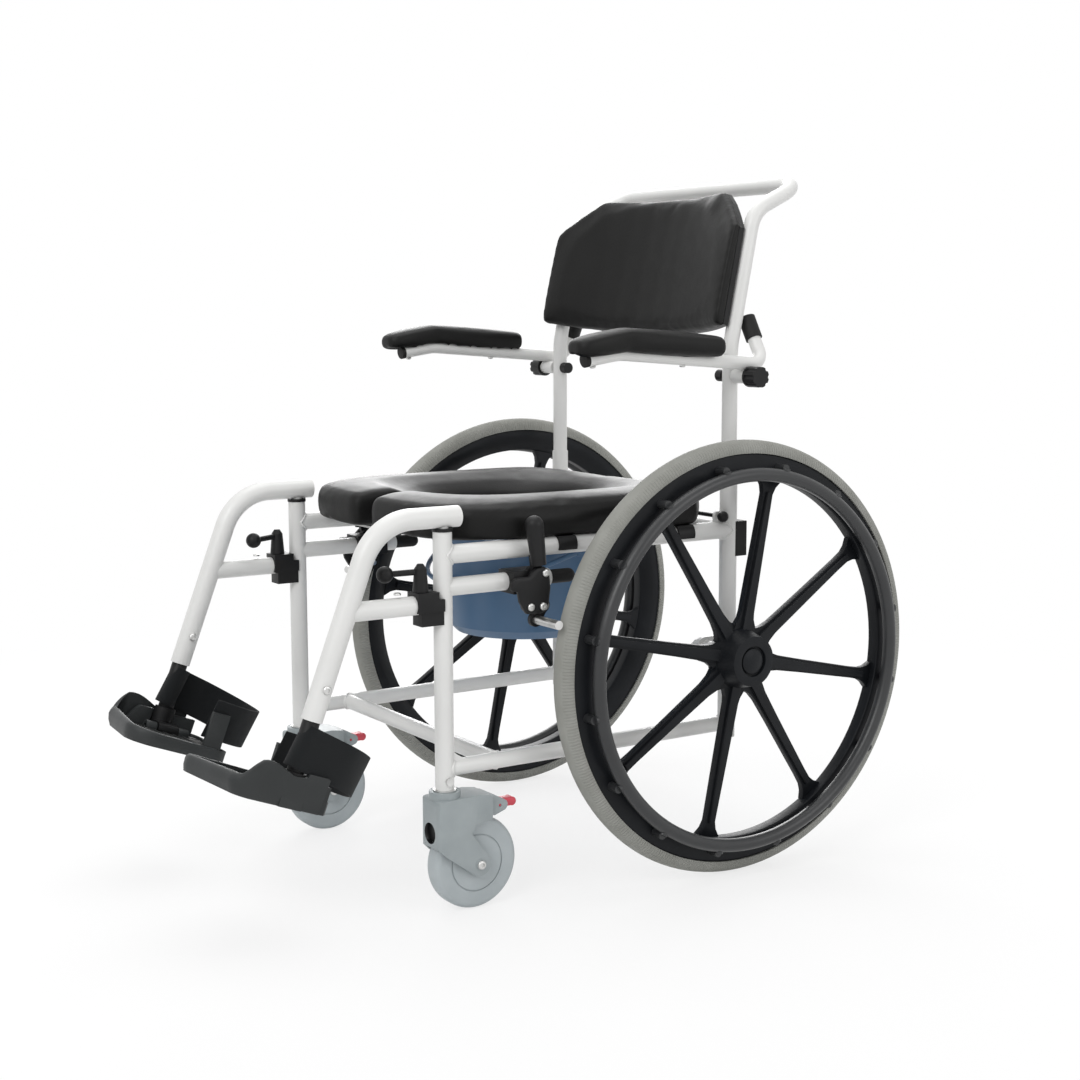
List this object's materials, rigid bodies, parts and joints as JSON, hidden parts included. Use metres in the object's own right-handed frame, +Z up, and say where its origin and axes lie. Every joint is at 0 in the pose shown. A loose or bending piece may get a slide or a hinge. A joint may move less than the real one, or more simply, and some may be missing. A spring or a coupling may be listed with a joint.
{
  "type": "shower commode chair",
  "caption": "Shower commode chair with large hand-rim rear wheels, braked casters, swing-away footrests, flip-up armrests, padded seat with an opening, and a slide-out pan.",
  "frame": {"origin": "on the floor under the middle of the chair's overall length and width", "axes": "+X towards the occupant's left, -Y the way the chair faces, +Z up"},
  "size_m": [0.661, 1.0524, 0.9771],
  "materials": {
    "white_paint": "gloss powder coat",
    "foam": "fine-grained skin",
    "black_plastic": "satin",
    "black_rubber": "matt",
    "steel": "satin",
    "tyre": "matt grey, non-marking",
    "wheel_plastic": "satin, glass-filled",
    "grey_plastic": "satin",
    "red_plastic": "satin",
    "blue_plastic": "satin",
    "webbing": "woven"
  },
  "bodies": {
    "frame": {"front_posts": "white_paint", "rear_posts": "white_paint", "seat_rails": "white_paint", "brake_rails": "white_paint", "lower_rails": "white_paint", "front_cross_tube": "white_paint", "rear_cross_tube": "white_paint", "back_frame": "white_paint", "backrest_shell": "black_plastic", "backrest_pad": "foam", "seat_pad": "foam", "seat_clips": "black_plastic", "seat_rod": "black_plastic", "end_plugs": "black_rubber", "hanger_bushes": "black_plastic", "caster_stems": "steel", "arm_pivots": "black_plastic", "brake_brackets": "black_plastic", "axles": "steel", "fasteners": "steel"},
    "wheel_left": {"tyre_left": "tyre", "rim_left": "wheel_plastic", "spokes_left": "wheel_plastic", "handrim_left": "wheel_plastic", "bearings_left": "steel", "hub_cap_left": "wheel_plastic"},
    "caster_left": {"caster_fork_left": "grey_plastic"},
    "caster_roller_left": {"caster_wheel_left": "grey_plastic"},
    "pedal_left": {"caster_pedal_left": "red_plastic"},
    "armrest_left": {"arm_tube_left": "white_paint", "arm_pad_left": "foam"},
    "hanger_left": {"hanger_left": "white_paint", "foot_tube_left": "white_paint", "latch_block_left": "black_plastic"},
    "latch_left": {"latch_lever_left": "black_plastic"},
    "footplate_left": {"footplate_left": "black_plastic", "heel_strap_left": "webbing"},
    "brake_lever_left": {"brake_lever_left": "black_plastic"},
    "brake_shoe_left": {"brake_shoe_left": "steel"},
    "wheel_right": {"tyre_right": "tyre", "rim_right": "wheel_plastic", "spokes_right": "wheel_plastic", "handrim_right": "wheel_plastic", "bearings_right": "steel", "hub_cap_right": "wheel_plastic"},
    "caster_right": {"caster_fork_right": "grey_plastic"},
    "caster_roller_right": {"caster_wheel_right": "grey_plastic"},
    "pedal_right": {"caster_pedal_right": "red_plastic"},
    "armrest_right": {"arm_tube_right": "white_paint", "arm_pad_right": "foam"},
    "hanger_right": {"hanger_right": "white_paint", "foot_tube_right": "white_paint", "latch_block_right": "black_plastic"},
    "latch_right": {"latch_lever_right": "black_plastic"},
    "footplate_right": {"footplate_right": "black_plastic", "heel_strap_right": "webbing"},
    "brake_lever_right": {"brake_lever_right": "black_plastic"},
    "brake_shoe_right": {"brake_shoe_right": "steel"},
    "pan": {"pan": "blue_plastic"},
    "bail": {"pan_bail": "blue_plastic"}
  },
  "joints": [
    {"name": "wheel_spin_left", "type": "hinge", "parent": "frame", "child": "wheel_left", "pos_m": [0.288, 0.22124, 0.305], "axis": [1, 0, 0], "continuous": true},
    {"name": "caster_swivel_left", "type": "hinge", "parent": "frame", "child": "caster_left", "pos_m": [0.216, -0.21076, 0.15], "axis": [0, 0, 1], "continuous": true},
    {"name": "caster_roll_left", "type": "hinge", "parent": "caster_left", "child": "caster_roller_left", "pos_m": [0.216, -0.17076, 0.0625], "axis": [1, 0, 0], "continuous": true},
    {"name": "pedal_press_left", "type": "hinge", "parent": "caster_left", "child": "pedal_left", "pos_m": [0.216, -0.13476, 0.1352], "axis": [-1, 0, 0], "range_deg": [0, 18]},
    {"name": "armrest_flip_left", "type": "hinge", "parent": "frame", "child": "armrest_left", "pos_m": [0.244, 0.26124, 0.6945], "axis": [-1, 0, 0], "range_deg": [0, 95]},
    {"name": "hanger_swing_left", "type": "hinge", "parent": "frame", "child": "hanger_left", "pos_m": [0.216, -0.21076, 0.49], "axis": [0, 0, 1], "range_deg": [0, 90]},
    {"name": "latch_turn_left", "type": "hinge", "parent": "hanger_left", "child": "latch_left", "pos_m": [0.216, -0.24376, 0.44], "axis": [0, 0, 1], "range_deg": [0, 60]},
    {"name": "footplate_flip_left", "type": "hinge", "parent": "hanger_left", "child": "footplate_left", "pos_m": [0.192, -0.43534, 0.19215], "axis": [0, 0.9336, -0.3584], "range_deg": [0, 90], "deforming": ["heel_strap_left"]},
    {"name": "brake_lever_left", "type": "hinge", "parent": "frame", "child": "brake_lever_left", "pos_m": [0.242, -0.08276, 0.439], "axis": [1, 0, 0], "range_deg": [0, 42]},
    {"name": "brake_shoe_left", "type": "hinge", "parent": "frame", "child": "brake_shoe_left", "pos_m": [0.242, -0.07476, 0.401], "axis": [1, 0, 0], "range_deg": [0, 14]},
    {"name": "wheel_spin_right", "type": "hinge", "parent": "frame", "child": "wheel_right", "pos_m": [-0.288, 0.22124, 0.305], "axis": [1, 0, 0], "continuous": true},
    {"name": "caster_swivel_right", "type": "hinge", "parent": "frame", "child": "caster_right", "pos_m": [-0.216, -0.21076, 0.15], "axis": [0, 0, 1], "continuous": true},
    {"name": "caster_roll_right", "type": "hinge", "parent": "caster_right", "child": "caster_roller_right", "pos_m": [-0.216, -0.17076, 0.0625], "axis": [1, 0, 0], "continuous": true},
    {"name": "pedal_press_right", "type": "hinge", "parent": "caster_right", "child": "pedal_right", "pos_m": [-0.216, -0.13476, 0.1352], "axis": [-1, 0, 0], "range_deg": [0, 18]},
    {"name": "armrest_flip_right", "type": "hinge", "parent": "frame", "child": "armrest_right", "pos_m": [-0.244, 0.26124, 0.6945], "axis": [-1, 0, 0], "range_deg": [0, 95]},
    {"name": "hanger_swing_right", "type": "hinge", "parent": "frame", "child": "hanger_right", "pos_m": [-0.216, -0.21076, 0.49], "axis": [0, 0, -1], "range_deg": [0, 90]},
    {"name": "latch_turn_right", "type": "hinge", "parent": "hanger_right", "child": "latch_right", "pos_m": [-0.216, -0.24376, 0.44], "axis": [0, 0, -1], "range_deg": [0, 60]},
    {"name": "footplate_flip_right", "type": "hinge", "parent": "hanger_right", "child": "footplate_right", "pos_m": [-0.192, -0.43534, 0.19215], "axis": [0, -0.9336, 0.3584], "range_deg": [0, 90], "deforming": ["heel_strap_right"]},
    {"name": "brake_lever_right", "type": "hinge", "parent": "frame", "child": "brake_lever_right", "pos_m": [-0.242, -0.08276, 0.439], "axis": [1, 0, 0], "range_deg": [0, 42]},
    {"name": "brake_shoe_right", "type": "hinge", "parent": "frame", "child": "brake_shoe_right", "pos_m": [-0.242, -0.07476, 0.401], "axis": [1, 0, 0], "range_deg": [0, 14]},
    {"name": "pan_slide", "type": "slide", "parent": "frame", "child": "pan", "axis": [0, -1, 0], "range_m": [0, 0.25]},
    {"name": "bail_swing", "type": "hinge", "parent": "pan", "child": "bail", "pos_m": [0, 0.05124, 0.4533], "axis": [-1, 0, 0], "range_deg": [-10, 15]}
  ],
  "couplings": [
    {"joint": "brake_shoe_left", "follows": "brake_lever_left", "ratio": 0.33333},
    {"joint": "brake_shoe_right", "follows": "brake_lever_right", "ratio": 0.33333}
  ]
}
